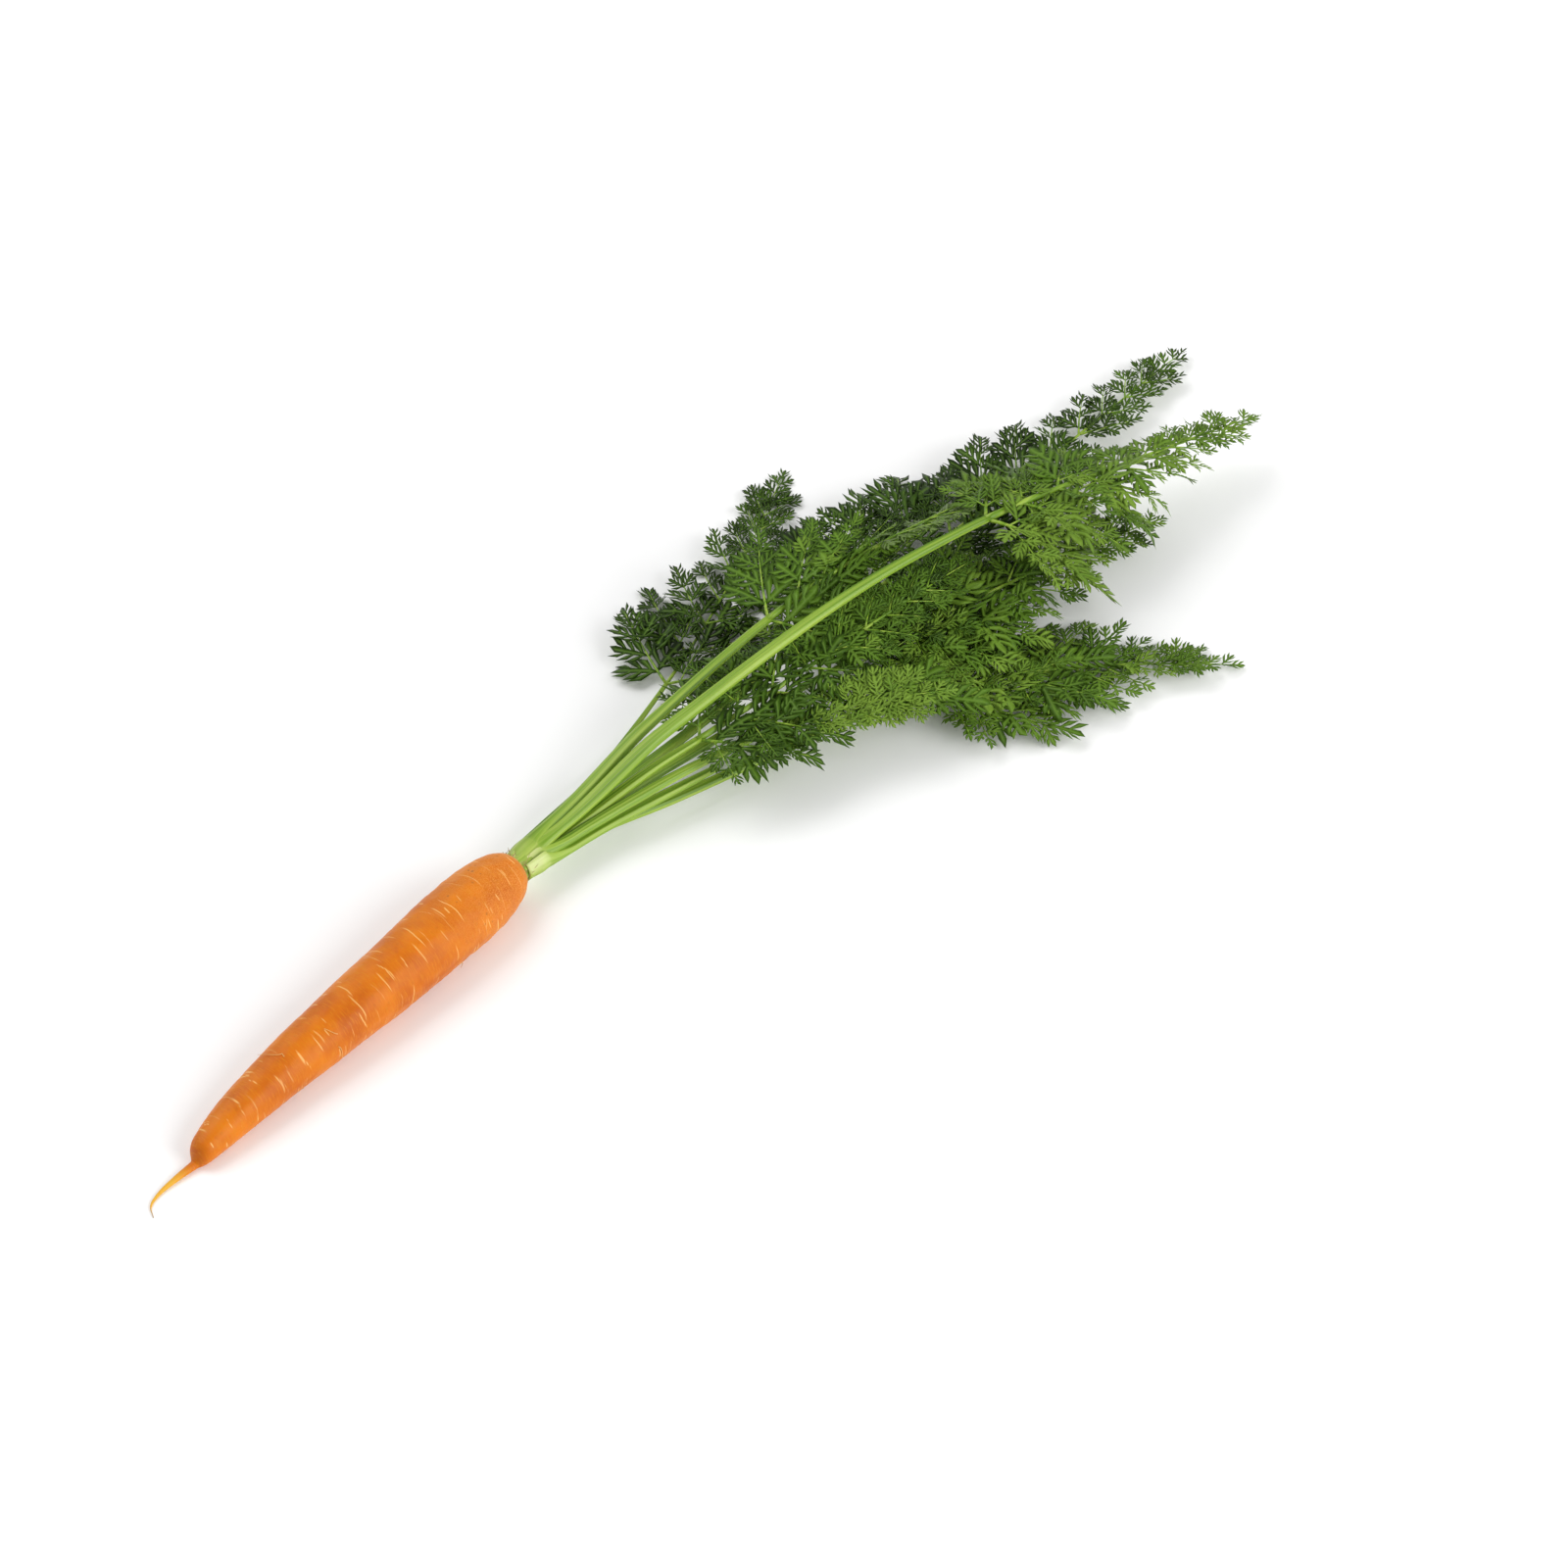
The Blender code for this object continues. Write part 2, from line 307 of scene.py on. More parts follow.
# %% Ramps and masks
def add_ramp(tree, value, *stops):
    """A colour ramp over a value. Each stop is (position, colour)."""
    ramp = tree.nodes.new("ShaderNodeValToRGB")
    band = ramp.color_ramp
    while len(band.elements) < len(stops):
        band.elements.new(0.5)
    for element, (position, colour) in zip(band.elements, stops):
        element.position = position
        element.color = (*colour, 1)
    tree.links.new(value, ramp.inputs["Fac"])
    return ramp.outputs["Color"]


def add_mask(tree, value, low, high, top=1.0):
    """A value that rises from 0 at low to top at high."""
    mask = tree.nodes.new("ShaderNodeMapRange")
    mask.interpolation_type = "SMOOTHSTEP"
    mask.inputs["From Min"].default_value = low
    mask.inputs["From Max"].default_value = high
    mask.inputs["To Max"].default_value = top
    tree.links.new(value, mask.inputs["Value"])
    return mask.outputs["Result"]


# %% Sums and mixes
def add_maths(tree, operation, first, second):
    maths = tree.nodes.new("ShaderNodeMath")
    maths.operation = operation
    for socket, value in zip(maths.inputs, (first, second)):
        if isinstance(value, (int, float)):
            socket.default_value = value
        else:
            tree.links.new(value, socket)
    return maths.outputs["Value"]


def add_mix(tree, factor, first, second):
    """Mixes two colours. Each is a socket or a plain colour."""
    mix = tree.nodes.new("ShaderNodeMix")
    mix.data_type = "RGBA"
    tree.links.new(factor, mix.inputs["Factor"])
    for name, value in (("A", first), ("B", second)):
        socket = next(s for s in mix.inputs if s.name == name and s.type == "RGBA")
        if isinstance(value, tuple):
            socket.default_value = (*value, 1)
        else:
            tree.links.new(value, socket)
    return next(s for s in mix.outputs if s.type == "RGBA")


# %% Bumps, roughness and the surface
def add_bump(tree, height, distance, strength, below=None):
    bump = tree.nodes.new("ShaderNodeBump")
    bump.inputs["Distance"].default_value = distance
    bump.inputs["Strength"].default_value = strength
    tree.links.new(height, bump.inputs["Height"])
    if below:
        tree.links.new(below, bump.inputs["Normal"])
    return bump.outputs["Normal"]


def connect(tree, shader, colour, roughness=None, normal=None):
    for name, value in (("Base Color", colour), ("Roughness", roughness), ("Normal", normal)):
        if value:
            tree.links.new(value, shader.inputs[name])


def grain_roughness(tree, marks, low, high, spread, least):
    return add_maths(tree, "ADD", add_mask(tree, marks["Grain"], low, high, spread), least)


# %% [markdown]
# ## The root
# A carrot's root is a long taper that is thickest just under its shoulder and runs out into a thin
# tail. It starts here as a plain cylinder. Ring cuts give it vertices, and a formula then moves each
# of them to its station along the root. A turned profile would also work, but the axis bends and the
# underside lies flat on the table, so the stations carry a middle as well as a radius.

# %% The root's outline
TAIL_REACH = 28.5 * MM  # along X, less than its length, because it bends
TAIL_LENGTH = 31 * MM
ROOT_END = CROWN_LOW.x - 0.3 * MM
ROOT_LENGTH = ROOT_END - (ROOT_LOW.x + TAIL_REACH)
ROOT_RADIUS = (ROOT_HIGH.z - ROOT_LOW.z) / 2
ROOT_SWAY = 1.6 * MM
WIDEST = 0.85  # share of the root's length
ROOT_OUTLINE = (
    (0.0, 0.125), (0.012, 0.30), (0.03, 0.39), (0.10, 0.52), (0.20, 0.64), (0.31, 0.74), (0.42, 0.82),
    (0.53, 0.885), (0.64, 0.935), (0.75, 0.985), (WIDEST, 1.0), (0.91, 0.935), (0.955, 0.80),
    (0.985, 0.60), (1.0, 0.36),
)
# (x, y, radius) from the root's tip
TAIL_ROUTE = (
    (0.0, 0.0, 1.8 * MM), (-9.5 * MM, 1.0 * MM, 1.25 * MM), (-18.5 * MM, 1.2 * MM, 0.75 * MM),
    (-25.0 * MM, -0.5 * MM, 0.45 * MM), (-TAIL_REACH, -5.0 * MM, 0.22 * MM),
)
print("the root is", round(ROOT_LENGTH / MM), "mm long and", round(2 * ROOT_RADIUS / MM), "mm thick")


# %% Stations along the root and the tail
def root_station(share):
    """The middle and the radius at this share of the root's length from its tip."""
    radius = ROOT_RADIUS * read_table(ROOT_OUTLINE, share)
    height = radius if share < WIDEST else ROOT_RADIUS
    sway = ROOT_SWAY * math.sin(2 * math.pi * share) * (1 - share)
    return Vector((ROOT_END - ROOT_LENGTH * (1 - share), CROWN_END.y + sway, height)), radius


def tail_station(share):
    """The same for the tail, from its end at 0 to the root's tip at 1."""
    along = (len(TAIL_ROUTE) - 1) * (1 - share)
    x, y, radius = (
        read_table([(k, point[axis]) for k, point in enumerate(TAIL_ROUTE)], along)
        for axis in range(3)
    )
    tip = root_station(0.0)[0]
    return Vector((tip.x + x, tip.y + y, radius)), radius


def station(along):
    """The middle and the radius this far from the tail's end."""
    if along < TAIL_LENGTH:
        return tail_station(along / TAIL_LENGTH)
    return root_station(min((along - TAIL_LENGTH) / ROOT_LENGTH, 1.0))


print("the tail is", round(2 * station(0)[1] / MM, 2), "mm thick at its end")

# %% Rings of vertices
ROOT_SIDES = 168
ROOT_RINGS = 570
shape = bmesh.new()
bmesh.ops.create_cone(shape, cap_ends=True, segments=ROOT_SIDES, radius1=1, radius2=1, depth=1)
long_edges = [e for e in shape.edges if abs(e.verts[0].co.z - e.verts[1].co.z) > 0.5]
bmesh.ops.subdivide_edges(shape, edges=long_edges, cuts=ROOT_RINGS - 1)
root = finish_mesh(shape, "root_skin")
flat = np.empty(len(root.data.vertices) * 3)
root.data.vertices.foreach_get("co", flat)
places = flat.reshape(-1, 3)
shares = places[:, 2] + 0.5
angles = np.arctan2(places[:, 1], places[:, 0])
# Rings crowd together near the shoulder, where the outline turns in towards the crown.
whole = TAIL_LENGTH + ROOT_LENGTH
along = whole * (0.6 * shares + 0.4 * np.sin(shares * math.pi / 2))
steps = np.linspace(0, whole, 400)
stations = [station(a) for a in steps]
radius_at = np.interp(along, steps, [s[1] for s in stations])
print(len(places), "vertices in", ROOT_RINGS + 1, "rings")

# %% [markdown]
# ## Cross lines on the skin
# Carrot skin carries short pale lines that run across the root, in loose rows, where side roots
# began. Each is a shallow groove. They are drawn as real grooves in the mesh, and the same numbers
# are kept as an attribute, so that the colour follows the groove exactly.

# %% Draw the cross lines
LINE_COUNT = 200
dice = random.Random(11)
lines = np.zeros(len(places))
for k in range(LINE_COUNT):
    middle = TAIL_LENGTH + ROOT_LENGTH * (0.03 + 0.95 * (k + dice.uniform(-0.5, 0.5)) / LINE_COUNT)
    row = dice.choice((0.9, 2.1, 3.3, 4.6, 5.7)) + dice.gauss(0, 0.35)
    reach = dice.choice((2.2, 3.5, 5.0, 6.5, 9.0)) * MM * (0.55 + 0.45 * station(middle)[1] / ROOT_RADIUS)
    half_width = dice.uniform(0.20, 0.34) * MM
    depth = dice.uniform(0.45, 1.0)
    slant = dice.gauss(0, 0.07)
    wave, phase = dice.uniform(0.1, 0.4) * MM, dice.uniform(0, 6)
    near = np.abs(along - middle) < 3 * MM
    aside = (angles[near] - row + math.pi) % (2 * math.pi) - math.pi
    across = aside * radius_at[near]
    off = along[near] - middle - slant * across - wave * np.sin(across / (2.2 * MM) + phase)
    fade = np.clip(1.25 * (1 - (across / reach) ** 2), 0, 1)
    lines[near] = np.maximum(lines[near], depth * fade * np.exp(-((off / half_width) ** 2)))
print("lines cover", round(float((lines > 0.3).mean()) * 100, 1), "% of the skin")


# %% Unevenness of the skin
def skin_noise(length, round_it):
    """Noise at every vertex: how long its bumps are, and how many go round the root."""
    return np.array([
        noise.noise(Vector((a / length, round_it * math.cos(t), round_it * math.sin(t))))
        for a, t in zip(along, angles)
    ])


LINE_DEPTH = 0.16 * MM
near_shoulder = np.clip((along - TAIL_LENGTH) / ROOT_LENGTH, 0, 1)
swell = skin_noise(26 * MM, 1.3)
dimple = skin_noise(5 * MM, 4.2)
ripple = skin_noise(2.1 * MM, 2.4)
share_of_full = radius_at / ROOT_RADIUS
uneven = share_of_full * (0.60 * swell + (0.14 + 0.20 * near_shoulder**3) * dimple + 0.09 * ripple) * MM
radii = radius_at + uneven - LINE_DEPTH * lines * np.minimum(share_of_full * 2, 1)
print("the skin's deepest groove is", round(LINE_DEPTH / MM, 2), "mm")

# %% Move the vertices to their stations
LOWEST = 0.02 * MM
middles = np.array([s[0] for s in stations])
middle_at = np.stack([np.interp(along, steps, middles[:, axis]) for axis in range(3)], axis=1)
places[:, 0] = middle_at[:, 0]
places[:, 1] = middle_at[:, 1] + radii * np.cos(angles)
places[:, 2] = np.maximum(middle_at[:, 2] + radii * np.sin(angles), LOWEST)
root.data.vertices.foreach_set("co", places.ravel())
set_attribute(root.data, "line", lines)
set_attribute(root.data, "shoulder", near_shoulder)
set_attribute(root.data, "tail", np.clip(1 - along / TAIL_LENGTH, 0, 1))
root.data.shade_smooth()
shape = bmesh.new()
shape.from_mesh(root.data)
bmesh.ops.recalc_face_normals(shape, faces=shape.faces)
shape.to_mesh(root.data)
shape.free()
print("the root's skin is", round(float(places[:, 2].max()) / MM, 1), "mm high")

# %% [markdown]
# ## Carrot skin
# Fresh skin is orange with a slight waxy shine, and light goes a little way into it. The colour is
# mixed in layers: an uneven orange, faint streaks that run across, pale cross lines, small brown
# pits near the shoulder, and yellow that takes over along the tail.

# %% Skin material
skin, tree, shader = new_material("carrot skin")
marks = add_growth(tree, (9, 1, 1))
colour = add_ramp(tree, marks["Blotches"], (0.34, (0.49, 0.102, 0.0005)), (0.66, (0.67, 0.182, 0.001)))
streaks = add_mask(tree, marks["Streaks"], 0.46, 0.72, 0.60)
colour = add_mix(tree, streaks, colour, (0.63, 0.205, 0.006))
shoulder_rough = add_mask(tree, add_attribute(tree, "shoulder"), 0.62, 0.97)
dusty = add_maths(tree, "MULTIPLY", shoulder_rough, add_mask(tree, marks["Grain"], 0.42, 0.62, 0.75))
colour = add_mix(tree, dusty, colour, (0.68, 0.26, 0.05))
pits = tree.nodes.new("ShaderNodeTexVoronoi")
pits.inputs["Scale"].default_value = 330
tree.links.new(tree.nodes.new("ShaderNodeTexCoord").outputs["Object"], pits.inputs["Vector"])
pit_spots = add_maths(tree, "LESS_THAN", pits.outputs["Distance"], 0.21)
pit_places = add_mask(tree, marks["Blotches"], 0.50, 0.62)
pit_share = add_maths(tree, "MULTIPLY", shoulder_rough, pit_places)
pit_mask = add_maths(tree, "MULTIPLY", pit_spots, add_maths(tree, "MAXIMUM", pit_share, 0.10))
colour = add_mix(tree, pit_mask, colour, (0.30, 0.09, 0.01))
line = add_mask(tree, add_attribute(tree, "line"), 0.12, 0.85, 0.80)
colour = add_mix(tree, line, colour, (0.84, 0.50, 0.16))
tail = add_attribute(tree, "tail")
colour = add_mix(tree, add_mask(tree, tail, 0.0, 0.35), colour, (0.70, 0.38, 0.030))
colour = add_mix(tree, add_mask(tree, tail, 0.72, 1.0), colour, (0.36, 0.25, 0.12))
roughness = grain_roughness(tree, marks, 0.3, 0.7, 0.14, 0.40)
roughness = add_maths(tree, "ADD", roughness, add_maths(tree, "MULTIPLY", shoulder_rough, 0.12))
bumps = add_bump(tree, marks["Streaks"], 0.12 * MM, 0.30)
bumps = add_bump(tree, marks["Grain"], 0.07 * MM, 0.55, bumps)
connect(tree, shader, colour, roughness, add_bump(tree, pit_mask, -0.2 * MM, 0.6, bumps))
set_values(shader, {
    "Subsurface Weight": 0.18, "Subsurface Radius": (1.0, 0.36, 0.08), "Subsurface Scale": 2.5 * MM,
    "Specular IOR Level": 0.18, "Coat Weight": 0.02, "Coat Roughness": 0.30,
    "Sheen Weight": 0.22, "Sheen Roughness": 0.45, "Sheen Tint": (1.0, 0.72, 0.45, 1),
})
finish_piece(root, skin, "root_skin", "root")

# %% [markdown]
# ## Root hairs
# A few thread-like side roots are left on a pulled carrot. Each is a thin tube, made from a ring of
# vertices that is extruded from station to station. The same helper makes every rib and stalk of the
# greens later, so it takes a radius for each station.


# %% A tube from ring to ring
def add_tube(shape, points, radii, sides=6):
    """A closed round tube through the points, built by extruding a circle."""
    row = None
    for k, (point, radius) in enumerate(zip(points, radii)):
        ahead = points[min(k + 1, len(points) - 1)] - points[max(k - 1, 0)]
        turn = ahead.to_track_quat("Z", "Y").to_matrix().to_4x4()
        place = Matrix.Translation(point) @ turn
        ring = [
            place @ Vector((radius * math.cos(t), radius * math.sin(t), 0)) for t in circle_angles(sides)
        ]
        row = grow(shape, row, ring, closed=True) if row else start_row(shape, ring)
    shape.faces.new(row)


# %% Root hairs
HAIR_COUNT = 9
dice = random.Random(5)
shape = bmesh.new()
for k in range(HAIR_COUNT):
    share = dice.uniform(0.25, 0.96)
    angle = dice.choice((-0.5, 3.6, -0.8, 2.6, 0.6)) + dice.gauss(0, 0.3)
    length = dice.uniform(5, 13) * MM
    drift = dice.uniform(-1, 1)
    points = []
    for j in range(9):
        t = j / 8
        forward = (drift * t * 0.6 + 0.12 * math.sin(5 * t)) * length
        middle, radius = root_station(share + forward / ROOT_LENGTH)
        turn = angle + (t + 0.15 * math.sin(7 * t + k)) * 0.8 * length / radius * (1 if drift > 0 else -1)
        lift = (0.1 + 1.4 * t * t) * MM
        out = Vector((0, math.cos(turn), math.sin(turn)))
        point = middle + out * (radius + lift)
        point.z = max(point.z, 0.3 * MM)
        points.append(point)
    add_tube(shape, points, [(0.20 - 0.13 * j / 8) * MM for j in range(9)])
hairs = finish_round(shape, "root_hairs")
hair_finish, tree, shader = new_material("root hair")
marks = add_growth(tree, (1, 1, 1))
connect(tree, shader, add_ramp(tree, marks["Blotches"], (0.3, (0.62, 0.30, 0.06)), (0.7, (0.80, 0.50, 0.18))))
set_values(shader, {"Roughness": 0.6})
finish_piece(hairs, hair_finish, "root_skin")

# %% [markdown]
# ## The leaves' lines
# Every stalk and every midrib follows the same kind of line as in the frame. It leaves the crown at
# its own place, fans out to its heading, and takes its height from a layer: 0 lies on the table and
# 1 is the top of the pile. Each leaf also has a few traits of its own: how long its side leaves are,
# how bright it is, how far it has rolled over, and how much its side leaves droop.

# %% The nine leaves
Leaf = namedtuple("Leaf", "name base heading last_heading layer stalk length pairs side radius "
                          "bright roll droop")
LEAVES = (
    Leaf("1", (6.2, -0.3), 12, 22, 0.00, 120, 250, 8, 44, 1.3, 0.30, 0, 0.2),
    Leaf("2", (3.0, 3.6), -4, -12, 0.90, 142, 250, 8, 46, 2.4, 0.62, 150, 0.5),
    Leaf("3", (-1.0, 3.5), -10, -14, 1.00, 245, 385, 9, 58, 2.6, 0.80, -12, 0.9),
    Leaf("4", (3.0, -0.4), -4, 0, 0.22, 180, 410, 11, 66, 2.3, 0.22, 0, 0.25),
    Leaf("5", (-0.9, -0.5), -15, -6, 0.68, 84, 225, 9, 46, 2.3, 0.55, 14, 0.7),
    Leaf("6", (1.2, -4.1), -13, -16, 0.36, 150, 320, 10, 62, 2.1, 0.78, 6, 0.4),
    Leaf("7", (-4.7, 1.0), -18, -40, 0.54, 105, 178, 8, 18, 2.2, 0.95, 20, 0.3),
    Leaf("8", (-3.0, -3.9), -18, -50, 0.08, 192, 310, 9, 54, 2.1, 0.70, -10, 0.2),
    Leaf("9", (-6.6, -2.2), -16, -16, 0.30, 86, 86, 0, 0, 2.3, 0.70, 0, 0.0),
)
FAN_START = 0.4  # share of its heading that a leaf already has at the crown
FAN_LENGTH = 55 * MM
TURN_START = 0.6  # share of the stalk where the leaf begins to turn aside
# heights over the distance from the crown, both in mm
LOW_LAYER = ((0, 9), (75, 3.8), (150, 3.0), (230, 0.9), (300, 0.5), (450, 0.5))
HIGH_LAYER = ((0, 20), (80, 37), (170, 50), (250, 47), (330, 34), (450, 15))
SETTLING = 70 * MM  # how far it takes a leaf to reach its layer
print(len(LEAVES), "leaves, one of them snapped off")


# %% The line of one leaf
class LeafLine:
    """The line of a leaf's stalk and midrib, measured along the leaf from the crown."""

    STEP = 1 * MM

    def __init__(self, leaf):
        self.leaf = leaf
        self.foot = Vector((0, leaf.base[0] * MM, AXIS_HEIGHT + leaf.base[1] * MM))
        self.stalk = leaf.stalk * MM
        self.length = leaf.length * MM
        place = self.foot.to_2d()
        self.places = [place]
        for k in range(math.ceil(self.length / self.STEP) + 2):
            heading = self.heading(k * self.STEP)
            place = place + Vector((math.cos(heading), math.sin(heading))) * self.STEP
            self.places.append(place)

    def heading(self, along):
        leaf = self.leaf
        fanned = FAN_START + (1 - FAN_START) * smoothstep(along / FAN_LENGTH)
        start = self.stalk * TURN_START
        turned = smoothstep((along - start) / (self.length - start))
        return math.radians(leaf.heading * fanned + (leaf.last_heading - leaf.heading) * turned)

    def point(self, along):
        k = min(int(max(along, 0) / self.STEP), len(self.places) - 2)
        flat = self.places[k].lerp(self.places[k + 1], along / self.STEP - k)
        away = flat.length
        low = read_table(LOW_LAYER, away / MM) * MM
        high = read_table(HIGH_LAYER, away / MM) * MM
        lying = low + (high - low) * self.leaf.layer
        height = self.foot.z + (lying - self.foot.z) * smoothstep(away / SETTLING)
        return CROWN_END + Vector((flat.x, flat.y, height))

    def frame(self, along):
        """The point, the direction of growth and the direction that the upper side faces."""
        ahead = (self.point(along + self.STEP) - self.point(along - self.STEP)).normalized()
        side = ahead.cross(UP).normalized()
        up = side.cross(ahead)
        rolled = self.leaf.roll * smoothstep((along - 0.8 * self.stalk) / (0.5 * self.length))
        up.rotate(Quaternion(ahead, math.radians(rolled)))
        return self.point(along), ahead, up


LINES = {leaf.name: LeafLine(leaf) for leaf in LEAVES}
print("the longest leaf reaches", round(max(l.point(l.length).x for l in LINES.values()) / MM), "mm along X")

# %% [markdown]
# ## The crown and the stalks
# A carrot leaf widens at its foot into a pale sheath that wraps the younger leaves inside it. So
# each stalk is grown ring by ring along its line: it starts as a thin crescent against the crown,
# and closes over two centimetres into a ribbed stalk with a shallow channel on its upper side.
# The crown itself is a short neck inside the sheaths.

# %% Measures of a stalk
STALK_SIDES = 40
STALK_ANGLES = circle_angles(STALK_SIDES)
RIB_COUNT = 10
FOOT_RADIUS = 1.75 * MM
SHEATH_BACK = 8.7 * MM  # how far the sheath reaches back over the crown
SHEATH_OPEN = 17 * MM  # where it has closed into a stalk
SHEATH_WALL = 1.0 * MM
STALK_TIP_SHARE = 0.62  # of its thickness is left at the blade
CROWN_BROAD = 1.12  # the crown is a little broader than high
print("the ribs are", round(2 * math.pi * FOOT_RADIUS / RIB_COUNT / MM, 1), "mm apart at the foot")


# %% Sections of a stalk
def stalk_radius(leaf, line, along):
    thick = leaf.radius * MM
    foot = min(FOOT_RADIUS, thick)
    share = max(along, 0) / line.stalk
    swelling = smoothstep(along / FAN_LENGTH)
    return (foot + (thick - foot) * swelling) * (1 - (1 - STALK_TIP_SHARE) * share**2)


def stalk_ring(leaf, line, along):
    """One ring of vertices around a leaf's line, ribbed, with a channel on top."""
    point, ahead, up = line.frame(max(along, 0))
    side = ahead.cross(up)
    radius = stalk_radius(leaf, line, along)
    broad = 1.34 - 0.22 * smoothstep(along / (110 * MM))
    ring = []
    for t in STALK_ANGLES:
        top = math.cos(t)
        ribs = 1 + 0.045 * math.cos(RIB_COUNT * t)
        channel = 1 - 0.24 * smoothstep((top - 0.72) / 0.28)
        r = radius * ribs * channel
        ring.append(point + side * (broad * r * math.sin(t)) + up * (r * top))
    return ring


def sheath_ring(leaf, along, spread, reach):
    """A thin crescent around the crown's axis, on the side where the leaf leaves it."""
    y, z = leaf.base
    middle = math.atan2(z, y / 1.2)
    ring = []
    for t in STALK_ANGLES:
        outer = 0.5 * (1 + math.cos(t))
        angle = middle + spread * math.sin(t)
        edge = math.cos(t) ** 2
        r = reach + SHEATH_WALL * (outer - 0.5) * (0.25 + 0.75 * edge)
        ring.append(CROWN_END + Vector((
            along, CROWN_BROAD * r * math.cos(angle), AXIS_HEIGHT + 0.98 * r * math.sin(angle)
        )))
    return ring


print(len(STALK_ANGLES), "vertices round each stalk")


# %% From sheath to stalk
def sheath_turn(leaf):
    """How many vertices to turn a stalk's ring by, so that its channel faces the crown's middle.

    The crescent starts at its outer side, and a stalk's ring starts at its upper side.
    """
    y, z = leaf.base
    outward = math.atan2(-y, z)  # from up, towards the ring's next vertices
    return round(outward / (2 * math.pi) * STALK_SIDES) % STALK_SIDES


def merged_ring(leaf, line, along):
    """The ring at a station: a crescent at first, and a stalk from where the sheath has closed."""
    rank = abs(complex(leaf.base[0] / 1.2, leaf.base[1]))  # outer leaves wrap further round
    spread = 0.55 + 0.10 * rank if leaf.radius > 1.5 else 0.3
    narrowing = 1 - 0.15 * smoothstep(-along / SHEATH_BACK)
    reach = (2.2 + 0.90 * rank) * MM * narrowing
    crescent = sheath_ring(leaf, min(along, 2 * MM), spread, reach)
    stalk = stalk_ring(leaf, line, along)
    turn = sheath_turn(leaf)
    closing = smoothstep((along + 1.0 * MM) / (SHEATH_OPEN + 1.0 * MM))
    return [a.lerp(b, closing) for a, b in zip(crescent, stalk[turn:] + stalk[:turn])]


def snapped_end(ring, ahead):
    """A ragged rim where the stalk was broken off."""
    rough = random.Random(3)
    return [place + ahead * rough.uniform(0.1, 1.3) * MM for place in ring]


def hollowed_end(ring, ahead):
    middle = sum(ring, Vector()) / len(ring)
    return [place.lerp(middle, 0.72) - ahead * 0.4 * MM for place in ring]


print("turns of the sheaths:", [sheath_turn(leaf) for leaf in LEAVES])


# %% Grow the stalks
def stalk_stations(leaf, line):
    """Distances from the crown's end: close together in the sheath, 4 mm apart on the stalk."""
    end = line.stalk + (1.5 * MM if leaf.pairs else 0)
    count = math.ceil((end - SHEATH_OPEN) / (4 * MM))
    over_crown = [-SHEATH_BACK + SHEATH_BACK * k / 7 for k in range(8)]
    closing = [SHEATH_OPEN * k / 14 for k in range(1, 15)]
    return over_crown + closing + [SHEATH_OPEN + (end - SHEATH_OPEN) * k / count for k in range(1, count + 1)]


def grow_stalk(leaf):
    line = LINES[leaf.name]
    stations = stalk_stations(leaf, line)
    rings = [merged_ring(leaf, line, along) for along in stations]
    shape = bmesh.new()
    row = start_row(shape, rings[0])
    for ring in rings[1:]:
        row = grow(shape, row, ring, closed=True)
    if not leaf.pairs:
        ahead = line.frame(line.stalk)[1]
        row = grow(shape, row, snapped_end(rings[-1], ahead), closed=True)
        row = grow(shape, row, hollowed_end(rings[-1], ahead), closed=True)
    shape.faces.new(row)
    made = finish_round(shape, f"stalk_{leaf.name}_ribbed")
    count = len(made.data.vertices)
    pale = np.full(count, 0.75)
    flow = np.zeros((count, 3))
    rib = np.zeros(count)
    turns = np.array(STALK_ANGLES)
    for k, along in enumerate(stations):
        ring = slice(k * STALK_SIDES, (k + 1) * STALK_SIDES)
        pale[ring] = 1 - smoothstep((along + SHEATH_BACK) / (24 * MM))
        flow[ring, 0] = along + 0.3 * leaf.bright
        flow[ring, 1] = 2 * MM * np.cos(turns)
        flow[ring, 2] = 2 * MM * np.sin(turns)
        rib[ring] = 0.5 + 0.5 * np.cos(RIB_COUNT * turns)
    set_stalk_marks(made.data, pale, rib, flow)
    return made


stalks = {leaf.name: grow_stalk(leaf) for leaf in LEAVES}
print(len(stalks), "stalks grown")

# %% [markdown]
# ## Stalk and crown colours
# The stalks are bright yellow-green with lengthwise streaks, and go pale, nearly white, where they
# wrap the crown. The streaks are noise that is stretched along the carrot.

# %% Stalk material
stalk_finish, tree, shader = new_material("carrot stalk")
marks = add_growth(tree, (0.035, 1.9, 1.9), add_attribute(tree, "flow", "Vector"))
colour = add_ramp(tree, marks["Streaks"], (0.36, (0.085, 0.185, 0.006)), (0.50, (0.170, 0.305, 0.014)),
                  (0.64, (0.30, 0.43, 0.050)))
rib = add_mask(tree, add_attribute(tree, "rib"), 0.45, 1.0, 0.40)
colour = add_mix(tree, rib, colour, (0.33, 0.455, 0.065))
pale = add_attribute(tree, "pale")
wrap = add_ramp(tree, marks["Streaks"], (0.35, (0.21, 0.34, 0.022)), (0.54, (0.37, 0.48, 0.085)),
                (0.68, (0.58, 0.64, 0.27)))
colour = add_mix(tree, add_mask(tree, pale, 0.15, 0.95), colour, wrap)
colour = add_mix(tree, add_mask(tree, marks["Blotches"], 0.55, 0.80, 0.25), colour, (0.13, 0.27, 0.015))
roughness = grain_roughness(tree, marks, 0.2, 0.8, 0.16, 0.36)
connect(tree, shader, colour, roughness, add_bump(tree, marks["Streaks"], 0.25 * MM, 0.6))
